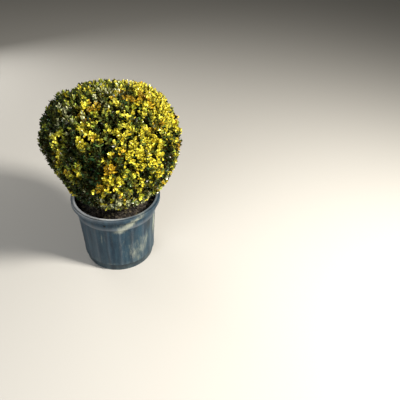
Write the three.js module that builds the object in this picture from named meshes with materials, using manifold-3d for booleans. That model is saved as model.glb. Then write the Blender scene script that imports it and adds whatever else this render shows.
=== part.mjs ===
// A clipped box ball growing in a fluted nursery pot.
// Millimetres, +Z up, origin at the middle of the pot's flat underside, with -Y towards the viewer.
import * as THREE from "three";
import { mergeVertices } from "three/addons/utils/BufferGeometryUtils.js";
import Module from "manifold-3d";

const wasm = await Module();
wasm.setup();

// Pot
const potHeight = 330;
const rimRadius = 200; // outside of the turned-down lip
const wallTopRadius = 184; // outside of the wall just under the lip
const wallFootRadius = 168; // the same slope carried down to the ground
const wallThickness = 2.5;
const lipDepth = 18; // how far the lip's skirt hangs down
const lipRounding = 2;
const bandDepth = 52; // plain band under the lip
const bandStep = 2; // the fluted wall stands this far inside the band
const stepHeight = 2; // height over which the wall steps in or out
const fluteCount = 20;
const fluteDepth = 2.5;
const fluteFade = 8; // height over which a flute runs out at its ends
const footHeight = 36;
const footStep = 9; // the foot stands this far inside the wall's slope
const drainHoleCount = 8;
const drainHoleRadius = 10;
const drainHoleSides = 12;
const drainCircleRadius = 126;
const potSegments = fluteCount * 3;

// Potting mix
const soilEdgeHeight = 292;
const soilMound = 6; // how much higher the mix stands round the stem
const soilRoughness = 2.5;
const soilRipple = 24; // length over which the roughness turns from a rise to a dip
const soilClearance = 0.6;

// Stem
const seatGap = 0.3; // left between solids that touch on the real plant
const stemTop = 400;
const forkHeight = 26; // of the first fork above the stem's top
const stemFootRadius = 17;
const stemTopRadius = 11;
const rootFlare = 0.53; // what the flare adds at the ground, as a share of the radius
const flareHeight = 22;
const rootCount = 5;
const stemLean = new THREE.Vector2(7, -4); // sideways, from foot to top

// Crown
const crownCentre = new THREE.Vector3(0, 0, 582.5);
const crownRadius = 295; // half its width
const crownHalfHeight = 257.5;
// Where the shears cut the ball flatter or left it fuller. Angles in degrees: azimuth from +X
// towards +Y, elevation from the horizontal, width out to where half the amount is left.
const clipMarks = [
  { azimuth: 204, elevation: -30, width: 26, amount: -0.11 },
  { azimuth: 165, elevation: 38, width: 20, amount: 0.03 },
  { azimuth: 350, elevation: 32, width: 22, amount: 0.03 },
  { azimuth: 300, elevation: -44, width: 20, amount: -0.03 },
  { azimuth: 75, elevation: 8, width: 24, amount: -0.035 },
  { azimuth: 115, elevation: -35, width: 22, amount: 0.03 },
  { azimuth: 22, elevation: 48, width: 15, amount: 0.06 },
  { azimuth: 345, elevation: -8, width: 15, amount: -0.06 },
  { azimuth: 328, elevation: -24, width: 14, amount: -0.04 },
  { azimuth: 194, elevation: -2, width: 10, amount: -0.04 },
  { azimuth: 202, elevation: -10, width: 17, amount: -0.09 },
  { azimuth: 176, elevation: 22, width: 12, amount: -0.03 },
  { azimuth: 90, elevation: 64, width: 16, amount: -0.02 },
];
const fullestShare = 1.06;
const coreShare = 0.76; // the dense inner mass, as a share of the reach
const coreHollowShare = 0.6; // the same straight below, where the ball is bare round the stem
const coreHollowWidth = 26; // degrees from straight down over which the hollow closes
const coreLumps = 0.018; // how far its surface goes in and out, as a share of the reach
const coreLumpTurns = new THREE.Vector3(17, 19, 16); // how often it does so, along each axis
const coreRings = 13;
const coreSegments = 24;

// Branching: each limb starts at the nearest tip of the level before it
const boughCount = 7;
const branchCount = 44;
const sprigCount = 90;
const boughShare = 0.36; // where the tips lie, as a share of the reach
const branchShare = 0.54;
const sprigShare = 0.985; // where a sprig's end leaf reaches
const sprigSpread = 0.014; // how much that varies
const limbJitter = 0.22; // sideways scatter of the tips, as a share of the reach
const boughRadii = [8, 5];
const branchRadii = [5, 4];
const sprigRadii = [5.6, 5.2];
const sprigSides = 4; // one for each leaf of two pairs

// Leaves: one at the sprig's end, and below it pairs, each turned a quarter from the one before
const leafLength = 60;
const leafWidth = 36;
const leafWidest = 0.58; // as a share of the length
const leafThickness = 4;
const leafPairs = 2;
const pairSeats = [8, 26]; // distance of each pair behind the sprig's end
const pairSplay = [46, 66]; // degrees between leaf and sprig
const endLeafRoot = 3; // how deep the end leaf's root is sunk in the sprig's end
const leafGroundClearance = 6;
const leafStemClearance = 42; // from the main stem's middle
const leafForkClearance = 14; // above the main stem's top
const fusingTolerance = 0.05;
const seed = 41;

const degrees = THREE.MathUtils.degToRad;
const goldenAngle = Math.PI * (3 - Math.sqrt(5));

// A repeatable source of numbers from 0 to 1.
function randomFrom(start) {
  let state = start >>> 0;
  return () => {
    state = (state + 0x6d2b79f5) >>> 0;
    let mixed = Math.imul(state ^ (state >>> 15), 1 | state);
    mixed = (mixed + Math.imul(mixed ^ (mixed >>> 7), 61 | mixed)) ^ mixed;
    return ((mixed ^ (mixed >>> 14)) >>> 0) / 4294967296;
  };
}

const random = randomFrom(seed);
const scatter = (amount) => (random() * 2 - 1) * amount;

// Solids from geometry and back

function toSolid(geometry) {
  const bare = geometry.index ? geometry.toNonIndexed() : geometry.clone();
  bare.deleteAttribute("normal");
  bare.deleteAttribute("uv");
  const merged = mergeVertices(bare, 1e-4);
  return new wasm.Manifold(
    new wasm.Mesh({
      numProp: 3,
      vertProperties: new Float32Array(merged.attributes.position.array),
      triVerts: new Uint32Array(merged.index.array),
    }),
  );
}

function toGeometry(solid) {
  const mesh = solid.getMesh();
  const geometry = new THREE.BufferGeometry();
  geometry.setAttribute("position", new THREE.BufferAttribute(mesh.vertProperties, 3));
  geometry.setIndex(new THREE.BufferAttribute(mesh.triVerts, 1));
  geometry.computeVertexNormals();
  return geometry;
}

// A profile of [radius, height] points turned about Z, with each vertex then moved by shape(vertex).
function turned(profile, segments, shape = null) {
  const points = profile.map(([radius, height]) => new THREE.Vector2(radius, height));
  const geometry = new THREE.LatheGeometry(points, segments).rotateX(Math.PI / 2);
  if (shape) {
    const position = geometry.attributes.position;
    const vertex = new THREE.Vector3();
    for (let i = 0; i < position.count; i++) {
      vertex.fromBufferAttribute(position, i);
      shape(vertex);
      position.setXYZ(i, vertex.x, vertex.y, vertex.z);
    }
  }
  return geometry;
}

// The turn that brings +Y into a unit direction.
const turnInto = (along) =>
  new THREE.Quaternion().setFromUnitVectors(new THREE.Vector3(0, 1, 0), along);

// A straight tapering limb from one point to another, twisted about its own line.
function limb(from, to, [startRadius, endRadius], sides, twist = 0) {
  const along = to.clone().sub(from);
  const length = along.length();
  return new THREE.CylinderGeometry(endRadius, startRadius, length, sides)
    .translate(0, length / 2, 0)
    .rotateY(twist)
    .applyQuaternion(turnInto(along.normalize()))
    .translate(from.x, from.y, from.z);
}

// Pot

const lipBottom = potHeight - lipDepth;
const bandBottom = lipBottom - bandDepth;
const wallRadius = (height) =>
  THREE.MathUtils.mapLinear(height, 0, lipBottom, wallFootRadius, wallTopRadius);
const bodyRadius = (height) => wallRadius(height) - bandStep;

// How far a flute sinks the wall at this angle and height: ridges between rounded hollows.
function fluteInset(angle, height) {
  const fromEnd = Math.min(height - footHeight, bandBottom - height);
  const full = THREE.MathUtils.clamp(fromEnd / fluteFade, 0, 1);
  return fluteDepth * full * Math.abs(Math.sin((angle * fluteCount) / 2));
}

function sinkFlutes(vertex) {
  const radius = Math.hypot(vertex.x, vertex.y);
  if (radius === 0) return;
  const sunk = radius - fluteInset(Math.atan2(vertex.y, vertex.x), vertex.z);
  vertex.x *= sunk / radius;
  vertex.y *= sunk / radius;
}

function makePot() {
  const wallRows = [
    footHeight + stepHeight,
    footHeight + fluteFade,
    bandBottom - fluteFade,
    bandBottom - stepHeight,
  ];
  const skirtInside = rimRadius - wallThickness;
  const flangeUnderside = potHeight - wallThickness;
  const wallTopInside = wallTopRadius - wallThickness;
  const bandFoot = [wallRadius(bandBottom), bandBottom + stepHeight];
  const footTop = [wallRadius(footHeight) - footStep, footHeight];
  const ledge = wallRows[0] + wallThickness; // where the inside steps out over the foot
  const outside = [
    [0, 0],
    [wallFootRadius - footStep, 0],
    footTop,
    ...wallRows.map((height) => [bodyRadius(height), height]),
    bandFoot,
    [wallTopRadius, lipBottom],
    [wallTopRadius, flangeUnderside],
    [skirtInside, flangeUnderside],
    [skirtInside, lipBottom],
    [rimRadius, lipBottom],
    [rimRadius, potHeight - lipRounding],
    [rimRadius - lipRounding, potHeight],
  ];
  const inside = [
    [wallTopInside + lipRounding, potHeight],
    [wallTopInside, potHeight - lipRounding],
    [wallTopInside, lipBottom],
    [bandFoot[0] - wallThickness, bandFoot[1]],
    ...wallRows
      .slice(1)
      .reverse()
      .map((height) => [bodyRadius(height) - wallThickness, height]),
    [bodyRadius(ledge) - wallThickness, ledge],
    [footTop[0] - wallThickness, footHeight + wallThickness],
    [wallFootRadius - footStep - wallThickness, wallThickness],
    [0, wallThickness],
  ];
  let pot = toSolid(turned([...outside, ...inside], potSegments, sinkFlutes));
  for (let i = 0; i < drainHoleCount; i++) {
    const angle = (i * 2 * Math.PI) / drainHoleCount;
    const centre = new THREE.Vector3(Math.cos(angle), Math.sin(angle), 0);
    centre.multiplyScalar(drainCircleRadius);
    const below = centre.clone().setZ(-wallThickness);
    const above = centre.clone().setZ(2 * wallThickness);
    const hole = limb(below, above, [drainHoleRadius, drainHoleRadius], drainHoleSides);
    pot = pot.subtract(toSolid(hole));
  }
  return toGeometry(pot);
}

// Potting mix, with a level seat for the stem

const soilSeatRadius = stemFootRadius * (1 + rootFlare) + 6;
const soilSeatHeight = soilEdgeHeight + soilMound;

function makeSoil() {
  const radiusInside = (height) =>
    bodyRadius(height) - wallThickness - fluteDepth - soilClearance;
  const bandRadius = (height) => wallRadius(height) - wallThickness - soilClearance;
  const edgeRadius = bandRadius(soilEdgeHeight);
  const footRadius = (height) => wallRadius(height) - footStep - wallThickness - 2 * soilClearance;
  const overFoot = footHeight + wallThickness;
  const moundRings = [0.25, 0.5, 0.75].map((share) => [
    THREE.MathUtils.lerp(edgeRadius, soilSeatRadius, share),
    THREE.MathUtils.lerp(soilEdgeHeight, soilSeatHeight, share),
  ]);
  const profile = [
    [0, wallThickness + seatGap],
    [footRadius(0), wallThickness + seatGap],
    [footRadius(footHeight), overFoot],
    [radiusInside(footHeight), overFoot + 2 * fluteFade],
    [radiusInside(bandBottom - fluteFade), bandBottom - fluteFade],
    [bandRadius(bandBottom), bandBottom + fluteFade],
    [edgeRadius, soilEdgeHeight],
    ...moundRings,
    [soilSeatRadius, soilSeatHeight],
    [0, soilSeatHeight],
  ];
  const uneven = (vertex) => {
    const radius = Math.hypot(vertex.x, vertex.y);
    const onMound = vertex.z > soilEdgeHeight && radius > soilSeatRadius + 1 && radius < edgeRadius - 1;
    if (!onMound) return;
    vertex.z += soilRoughness * Math.sin(vertex.x / soilRipple) * Math.cos(vertex.y / soilRipple);
  };
  return toGeometry(toSolid(turned(profile, potSegments, uneven)));
}

// Stem

const stemFoot = soilSeatHeight + seatGap;

// Sideways place of the stem's middle at a height: upright at first, then leaning.
function stemMiddle(height) {
  const share = THREE.MathUtils.clamp((height - stemFoot) / (stemTop - stemFoot), 0, 1);
  return stemLean.clone().multiplyScalar(share ** 1.5);
}

function makeStem() {
  const rings = [0, 0.07, 0.16, 0.3, 0.65, 1]; // closer together in the flare
  const heights = rings.map((share) => THREE.MathUtils.lerp(stemFoot, stemTop, share));
  const radiusAt = (height) =>
    THREE.MathUtils.mapLinear(height, stemFoot, stemTop, stemFootRadius, stemTopRadius);
  const profile = [
    [0, stemFoot],
    ...heights.map((height) => [radiusAt(height), height]),
    [0, stemTop],
  ];
  const flareAndLean = (vertex) => {
    const angle = Math.atan2(vertex.y, vertex.x);
    const fade = Math.exp(-(vertex.z - stemFoot) / flareHeight);
    const flared = 1 + rootFlare * fade * (0.6 + 0.4 * Math.cos(rootCount * angle));
    const middle = stemMiddle(vertex.z);
    vertex.x = vertex.x * flared + middle.x;
    vertex.y = vertex.y * flared + middle.y;
  };
  return toGeometry(toSolid(turned(profile, 2 * rootCount, flareAndLean)));
}

// Crown

const towards = (azimuth, elevation) =>
  new THREE.Vector3(
    Math.cos(elevation) * Math.cos(azimuth),
    Math.cos(elevation) * Math.sin(azimuth),
    Math.sin(elevation),
  );

const marks = clipMarks.map((mark) => ({
  ...mark,
  direction: towards(degrees(mark.azimuth), degrees(mark.elevation)),
  halfWidth: degrees(mark.width),
}));

// Distance from the crown's centre to its clipped surface in a unit direction.
function reach(direction) {
  const across = Math.hypot(direction.x, direction.y) / crownRadius;
  const upward = direction.z / crownHalfHeight;
  let share = 1;
  for (const mark of marks) {
    const apart = direction.angleTo(mark.direction) / mark.halfWidth;
    share += mark.amount * 0.5 ** (apart * apart);
  }
  return Math.min(share, fullestShare) / Math.hypot(across, upward);
}

// The point at a share of the reach in a unit direction.
const inCrown = (direction, share) =>
  direction.clone().multiplyScalar(share * reach(direction)).add(crownCentre);

function isInsideCrown(point) {
  const fromCentre = point.clone().sub(crownCentre);
  const distance = fromCentre.length();
  return distance <= reach(fromCentre.divideScalar(distance));
}

// Tips spread evenly over the ball by the golden angle, then scattered.
function spreadTips(count, share, spread = 0) {
  const gap = limbJitter * Math.sqrt(boughCount / count);
  const tips = [];
  for (let i = 0; i < count; i++) {
    const elevation = Math.asin(1 - (2 * (i + 0.5)) / count);
    const direction = towards(i * goldenAngle, elevation);
    direction.add(new THREE.Vector3(scatter(gap), scatter(gap), scatter(gap))).normalize();
    tips.push(inCrown(direction, share + scatter(spread)));
  }
  return tips;
}

const nearest = (point, places) =>
  places.reduce((best, place) =>
    place.distanceToSquared(point) < best.distanceToSquared(point) ? place : best,
  );

// One leaf along +Y from its root, its upper face towards +Z: arched on top, keeled underneath.
const leafCorners = {
  root: new THREE.Vector3(0, 0, 0),
  left: new THREE.Vector3(-leafWidth / 2, leafWidest * leafLength, leafThickness),
  right: new THREE.Vector3(leafWidth / 2, leafWidest * leafLength, leafThickness),
  tip: new THREE.Vector3(0, leafLength, 0),
};

function makeLeaf() {
  const { root, left, right, tip } = leafCorners;
  const upper = [root, right, left, left, right, tip];
  const lower = [root, left, tip, root, tip, right];
  return new THREE.BufferGeometry().setFromPoints([...upper, ...lower]);
}

const leaf = makeLeaf();

// Whether a point is in the crown's reach and clear of the main stem and the potting mix.
function staysInSpace(point) {
  const middle = stemMiddle(point.z);
  const fromStem = Math.hypot(point.x - middle.x, point.y - middle.y);
  const clearOfStem = point.z > stemTop + leafForkClearance || fromStem > leafStemClearance;
  const clearOfSoil = point.z > soilSeatHeight + soilRoughness + leafGroundClearance;
  return isInsideCrown(point) && clearOfStem && clearOfSoil;
}

// A leaf rooted in the middle of a limb and splayed from the limb's line towards one side, or
// null if it would leave its space.
function placeLeaf(root, along, side, splay) {
  const lengthwise = along.clone().multiplyScalar(Math.cos(splay));
  lengthwise.addScaledVector(side, Math.sin(splay));
  const across = side.clone().cross(along).normalize();
  const upwards = across.clone().cross(lengthwise);
  const placed = new THREE.Matrix4().makeBasis(across, lengthwise, upwards).setPosition(root);
  const corners = [leafCorners.left, leafCorners.right, leafCorners.tip];
  const inside = corners.every((corner) => staysInSpace(corner.clone().applyMatrix4(placed)));
  return inside ? leaf.clone().applyMatrix4(placed) : null;
}

// A twig that ends a leaf's length short of its reach, with each leaf growing out of the middle
// of one of its sides.
function makeSprig(from, end) {
  const along = end.clone().sub(from).normalize();
  const tip = end.clone().addScaledVector(along, 1 + endLeafRoot - leafLength);
  const twist = random() * Math.PI;
  const sideAt = (turn) => {
    const angle = twist + Math.PI / sprigSides + turn;
    return new THREE.Vector3(Math.sin(angle), 0, Math.cos(angle)).applyQuaternion(turnInto(along));
  };
  const pieces = [limb(from, tip, sprigRadii, sprigSides, twist)];
  pieces.push(placeLeaf(tip.clone().addScaledVector(along, -endLeafRoot), along, sideAt(0), 0));
  for (let pair = 0; pair < leafPairs; pair++) {
    const root = tip.clone().addScaledVector(along, -pairSeats[pair]);
    for (const half of [0, Math.PI]) {
      const splay = degrees(pairSplay[pair] + scatter(6));
      pieces.push(placeLeaf(root, along, sideAt(half + (pair * Math.PI) / 2), splay));
    }
  }
  return pieces.filter((piece) => piece);
}

function makeCore() {
  const profile = [];
  for (let ring = 0; ring <= coreRings; ring++) {
    const elevation = -Math.PI / 2 + (ring * Math.PI) / coreRings;
    profile.push([ring % coreRings ? Math.cos(elevation) : 0, Math.sin(elevation)]);
  }
  const down = new THREE.Vector3(0, 0, -1);
  const onCore = (vertex) => {
    const direction = vertex.clone().normalize();
    const fromBelow = direction.angleTo(down) / degrees(coreHollowWidth);
    const hollow = (coreShare - coreHollowShare) * 0.5 ** (fromBelow * fromBelow);
    const { x, y, z } = direction.clone().multiply(coreLumpTurns);
    const lumps = coreLumps * (Math.sin(x) + Math.sin(y) + Math.sin(z));
    vertex.copy(inCrown(direction, coreShare - hollow + lumps));
  };
  return turned(profile, coreSegments, onCore);
}

function makeFoliage() {
  const middle = stemMiddle(stemTop);
  const seat = new THREE.Vector3(middle.x, middle.y, stemTop + seatGap);
  const fork = new THREE.Vector3(middle.x, middle.y, stemTop + forkHeight);
  const knot = fork.clone().setZ(fork.z + boughRadii[0]);
  const boughTips = spreadTips(boughCount, boughShare);
  const branchTips = spreadTips(branchCount, branchShare).filter(staysInSpace);
  const sprigEnds = spreadTips(sprigCount, sprigShare, sprigSpread).filter(staysInSpace);
  const pieces = [makeCore(), limb(seat, knot, [stemTopRadius, boughRadii[0]], 2 * rootCount)];
  boughTips.forEach((tip) => pieces.push(limb(fork, tip, boughRadii, 4)));
  branchTips.forEach((tip) => pieces.push(limb(nearest(tip, boughTips), tip, branchRadii, 3)));
  sprigEnds.forEach((end) => pieces.push(...makeSprig(nearest(end, branchTips), end)));
  const fused = wasm.Manifold.union(pieces.map(toSolid));
  // One body is kept: sealed hollows come out as bodies of their own, and so do loose scraps.
  const bodies = fused.decompose().sort((a, b) => b.volume() - a.volume());
  return toGeometry(bodies[0].simplify(fusingTolerance));
}

// Materials and nodes

const finish = (colour, roughness) =>
  new THREE.MeshStandardMaterial({ color: colour, roughness, metalness: 0 });
const potPlastic = finish(0x39434b, 0.55);
const pottingMix = finish(0x2a211a, 0.95);
const bark = finish(0x6b5a45, 0.85);
const boxLeaves = finish(0x6f7a1e, 0.45);

function node(name, geometry, material) {
  const mesh = new THREE.Mesh(geometry, material);
  mesh.name = name;
  return mesh;
}

const plant = new THREE.Group();
plant.add(
  node("nursery_pot", makePot(), potPlastic),
  node("potting_mix", makeSoil(), pottingMix),
  node("main_stem", makeStem(), bark),
  node("foliage_ball", makeFoliage(), boxLeaves),
);

export default plant;
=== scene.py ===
import math

import bmesh
import bpy
import numpy as np
from mathutils import Matrix, Vector, noise


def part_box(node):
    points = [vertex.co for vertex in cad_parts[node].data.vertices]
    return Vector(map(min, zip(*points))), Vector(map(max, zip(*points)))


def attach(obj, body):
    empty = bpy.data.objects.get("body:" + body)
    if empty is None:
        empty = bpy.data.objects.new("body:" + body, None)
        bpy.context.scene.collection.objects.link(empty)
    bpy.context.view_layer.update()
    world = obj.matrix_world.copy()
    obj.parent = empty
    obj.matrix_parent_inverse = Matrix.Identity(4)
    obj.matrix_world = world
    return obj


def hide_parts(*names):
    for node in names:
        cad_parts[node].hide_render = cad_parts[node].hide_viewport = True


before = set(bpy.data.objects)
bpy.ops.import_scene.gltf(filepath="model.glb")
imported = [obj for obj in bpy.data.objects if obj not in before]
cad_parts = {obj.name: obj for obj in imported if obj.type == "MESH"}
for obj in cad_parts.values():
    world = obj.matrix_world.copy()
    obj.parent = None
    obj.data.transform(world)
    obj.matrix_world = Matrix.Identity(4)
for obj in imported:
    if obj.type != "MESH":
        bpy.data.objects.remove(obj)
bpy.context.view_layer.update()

mm = 0.001
body = "root"


# Pieces

def meshFrom(name, bm):
    mesh = bpy.data.meshes.new(name)
    bm.to_mesh(mesh)
    bm.free()
    return mesh


def addObject(name, data):
    made = bpy.data.objects.new(name, data)
    bpy.context.scene.collection.objects.link(made)
    return made


def dress(name, mesh, material, node):
    piece = addObject(name, mesh)
    mesh.materials.clear()
    mesh.materials.append(material)
    mesh.shade_smooth()
    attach(piece, body)
    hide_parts(node)


def applyModifiers(piece):
    graph = bpy.context.evaluated_depsgraph_get()
    mesh = bpy.data.meshes.new_from_object(piece.evaluated_get(graph))
    bpy.data.objects.remove(piece)
    return mesh


def pointAttribute(mesh, name, values):
    attribute = mesh.attributes.new(name, "FLOAT", "POINT")
    attribute.data.foreach_set("value", np.asarray(values, np.float32))


def cornersOf(mesh):
    corners = np.empty(len(mesh.vertices) * 3)
    mesh.vertices.foreach_get("co", corners)
    return corners.reshape(-1, 3)


def smoothStep(low, high, value):
    share = np.clip((value - low) / (high - low), 0, 1)
    return share * share * (3 - 2 * share)


def unit(vectors):
    return vectors / np.maximum(np.linalg.norm(vectors, axis=-1, keepdims=True), 1e-9)


def noiseAt(point, size, seed=0):
    return noise.noise(Vector(point) / size + Vector((seed * 7.3, seed * 3.1, seed * 5.7)))


def roughnessAt(point, size, falloff, octaves):
    return noise.fractal(Vector(point) / size, falloff, 2.0, octaves)


# Shader nodes

def addNode(tree, kind, inputs=None, **settings):
    # an input is linked where it is another node's output, and set where it is a plain value
    node = tree.nodes.new("ShaderNode" + kind)
    for key, value in settings.items():
        setattr(node, key, value)
    for key, value in (inputs or {}).items():
        if isinstance(value, bpy.types.NodeSocket):
            tree.links.new(value, node.inputs[key])
        else:
            node.inputs[key].default_value = value
    return node.outputs


def blend(tree, factor, first, second):
    first, second = (
        colour if isinstance(colour, bpy.types.NodeSocket) else (*colour, 1) for colour in (first, second)
    )
    return addNode(tree, "Mix", {0: factor, 6: first, 7: second}, data_type="RGBA")[2]


def dim(tree, colour, amount):
    return addNode(tree, "VectorMath", {0: colour, "Scale": amount}, operation="SCALE")[0]


def calculate(tree, operation, *values, clamp=False):
    return addNode(tree, "Math", dict(enumerate(values)), operation=operation, use_clamp=clamp)[0]


def multiply(tree, first, second):
    return calculate(tree, "MULTIPLY", first, second)


def remap(tree, value, low, high, toLow, toHigh, interpolation="LINEAR"):
    inputs = {0: value, 1: low, 2: high, 3: toLow, 4: toHigh}
    return addNode(tree, "MapRange", inputs, interpolation_type=interpolation)[0]


def stretch(tree, place, scale):
    return addNode(tree, "Mapping", {"Vector": place, "Scale": scale})[0]


def attributeOf(tree, name):
    return addNode(tree, "Attribute", attribute_name=name)["Fac"]


def newGroup(name, inputs):
    # an input is a vector where its value is None, and else a number
    tree = bpy.data.node_groups.new(name, "ShaderNodeTree")
    for socket, value in inputs.items():
        kind = "NodeSocketVector" if value is None else "NodeSocketFloat"
        made = tree.interface.new_socket(socket, in_out="INPUT", socket_type=kind)
        if value is not None:
            made.default_value = value
    return tree, tree.nodes.new("NodeGroupInput").outputs


def giveBack(tree, results):
    for socket in results:
        tree.interface.new_socket(socket, in_out="OUTPUT", socket_type="NodeSocketFloat")
    leave = tree.nodes.new("NodeGroupOutput")
    for socket, value in results.items():
        tree.links.new(value, leave.inputs[socket])
    return tree


def makeGrainGroup():
    tree, given = newGroup("surfaceGrain", {"Vector": None, "Coarse Scale": 40, "Fine Scale": 300})
    coarse, fine = (
        addNode(tree, "TexNoise", {"Vector": given["Vector"], "Scale": given[scale], "Detail": detail})[0]
        for scale, detail in (("Coarse Scale", 3), ("Fine Scale", 2))
    )
    both = addNode(tree, "Mix", {0: 0.4, 2: coarse, 3: fine})[0]
    return giveBack(tree, {"Tone": remap(tree, both, 0.33, 0.67, 0, 1), "Height": both})


def makePatchGroup():
    tree, given = newGroup("patchyMask", {"Vector": None, "Scale": 12, "Cover": 0.5, "Softness": 0.1})
    inputs = {"Vector": given["Vector"], "Scale": given["Scale"], "Detail": 5, "Roughness": 0.62}
    cloud = addNode(tree, "TexNoise", inputs)[0]
    bare = calculate(tree, "SUBTRACT", 1.0, given["Cover"])
    low, high = (calculate(tree, step, bare, given["Softness"]) for step in ("SUBTRACT", "ADD"))
    return giveBack(tree, {"Mask": remap(tree, cloud, low, high, 0, 1, "SMOOTHSTEP")})


grainGroup = makeGrainGroup()
patchGroup = makePatchGroup()


def grainOf(tree, place, coarse, fine):
    inputs = {"Vector": place, "Coarse Scale": coarse, "Fine Scale": fine}
    return addNode(tree, "Group", inputs, node_tree=grainGroup)


def patchesOf(tree, place, scale, cover, softness):
    inputs = {"Vector": place, "Scale": scale, "Cover": cover, "Softness": softness}
    return addNode(tree, "Group", inputs, node_tree=patchGroup)["Mask"]


def newMaterial(name, shine):
    material = bpy.data.materials.new(name)
    material.use_nodes = True
    tree = material.node_tree
    shader = tree.nodes["Principled BSDF"].inputs
    shader["Specular IOR Level"].default_value = shine
    return material, tree, shader, addNode(tree, "TexCoord")["Object"]


def feedShader(tree, shader, colour, roughness, height, relief, strength=1.0):
    bump = addNode(tree, "Bump", {"Height": height, "Distance": relief, "Strength": strength})[0]
    for socket, value in (("Base Color", colour), ("Roughness", roughness), ("Normal", bump)):
        tree.links.new(value, shader[socket])


# Nursery pot

potLow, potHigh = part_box("nursery_pot")
pot = {
    "height": potHigh.z,
    "rimRadius": potHigh.x,
    "wallTopRadius": 184 * mm,  # outside of the wall just under the lip
    "wallFootRadius": 168 * mm,  # the same slope carried down to the ground
    "wall": 2.5 * mm,
    "lipDepth": 18 * mm,
    "lipRounding": 2 * mm,
    "lipRings": (11, 8, 5, 2),  # millimetres outside of the wall, so that the painted highlight line shows
    "bandDepth": 52 * mm,  # plain band under the lip
    "bandStep": 2 * mm,
    "bandRing": 24 * mm,
    "stepHeight": 2 * mm,
    "flutes": 20,
    "fluteDepth": 2.5 * mm,
    "fluteFade": 8 * mm,
    "fluteRows": 14,
    "segmentsPerFlute": 12,
    "footHeight": 36 * mm,
    "footStep": 9 * mm,
    "floorRing": 0.6,  # a ring in the floor, as a share of the wall's radius
    "flatFloor": 0.7,  # the floor stays flat and round inside this share
    "edgeRounding": 0.8 * mm,
    "drainHoles": 8,
    "drainHoleRadius": 10 * mm,
    "drainHoleSides": 24,
    "drainCircleRadius": 126 * mm,
    "outOfRound": 0.8 * mm,
    "wavesRound": 0.8,
    "wavesUp": 4,  # to a metre
    "swell": 0.3 * mm,
    "roundBelow": 60 * mm,
    "shine": 0.24,
    # where the painted highlight along the rim's edge is brightest: azimuth from +X in degrees,
    # height, half widths round and up, rise for each degree, strength
    "rimHighlights": [(-140, 0.33, 24, 1, 0, 2.8), (-98, 0.33, 16, 1, 0, 0.2), (80, 0.33, 30, 1, 0, 0.9)],
    # dried splashes and dust, given the same way; the narrow one at -23 degrees is a painted highlight
    # down the wall's edge
    "marks": [
        (-74, 0.286, 12, 0.015, 0.0016, 0.7), (-91, 0.258, 10, 0.011, 0.0012, 0.5),
        (-66, 0.318, 12, 0.011, 0.0008, 0.6), (-84, 0.285, 14, 0.014, 0, 0.3),
        (-86, 0.252, 8, 0.016, 0, 0.25), (-46, 0.165, 5, 0.036, 0.0015, 0.24),
        (-54, 0.11, 7, 0.03, 0, 0.18), (-69, 0.095, 6, 0.034, 0, 0.2), (-62, 0.05, 8, 0.022, 0, 0.2),
        (-117, 0.205, 1.4, 0.036, 0, 0.5), (-112, 0.215, 0.8, 0.03, 0, 0.3),
        (-98, 0.03, 7, 0.007, 0, 0.4), (-110, 0.047, 8, 0.006, 0, 0.5), (-23, 0.2, 4, 0.07, 0, 0.75),
        (-52, 0.13, 20, 0.08, 0, 0.22), (-74, 0.105, 13, 0.075, 0, 0.17),
        (-90, 0.165, 8, 0.075, 0, 0.13), (60, 0.28, 26, 0.02, -0.0006, 0.5),
        (150, 0.16, 18, 0.05, 0, 0.35), (100, 0.1, 9, 0.04, 0, 0.4),
    ],
    # darker places, damp or clean, given the same way
    "stains": [
        (-41, 0.235, 6, 0.032, 0, 1.2), (-102, 0.2, 1.5, 0.06, 0, 0.9), (-95, 0.305, 7, 0.01, 0, 0.9),
        (-127, 0.265, 3, 0.035, 0, 0.8), (-72, 0.2, 9, 0.035, 0, 0.6), (20, 0.2, 16, 0.05, 0, 0.7),
        (120, 0.22, 12, 0.04, 0, 0.7), (190, 0.15, 12, 0.06, 0, 0.7),
    ],
    # how rubbed each place is; the lip also has painted highlights: a line at lipLineOut from the opening
    # and one at the rim's outer edge
    "wearAndHighlight": {
        "crests": 0.035, "crestWidth": 1.25, "bandEdge": 0.1, "bandEdgeAbove": 3 * mm,
        "bandEdgeWidth": 2 * mm, "lip": 0.12, "lipOutside": 0.15, "lipLineOut": 4 * mm,
        "lipLineWidth": 5.5 * mm,
    },
    "dust": {"foot": 0.3, "footFade": 30 * mm, "ledge": 0.15, "ledgeAbove": 4 * mm, "ledgeFade": 8 * mm},
    # how much the lip's top face is darkened: painted shade
    "lipTopShade": 0.4,
    "streaks": (55, 55, 5),  # of the weathering, to a metre
    "tears": (95, 95, 26),  # in the splashes
    "colours": {
        "plastic": (0.001, 0.013, 0.030),
        "weathered": (0.016, 0.047, 0.073),
        "stainedAndShaded": (0.008, 0.014, 0.019),
        "dust": (0.24, 0.26, 0.215),
        # the worn colour also paints the highlight along the lip
        "wornAndHighlight": (0.92, 0.94, 0.96),
    },
}
lipBottom = pot["height"] - pot["lipDepth"]
bandBottom = lipBottom - pot["bandDepth"]


def wallRadius(height):
    share = height / lipBottom
    return pot["wallFootRadius"] + share * (pot["wallTopRadius"] - pot["wallFootRadius"])


def bodyRadius(height):
    return wallRadius(height) - pot["bandStep"]


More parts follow.
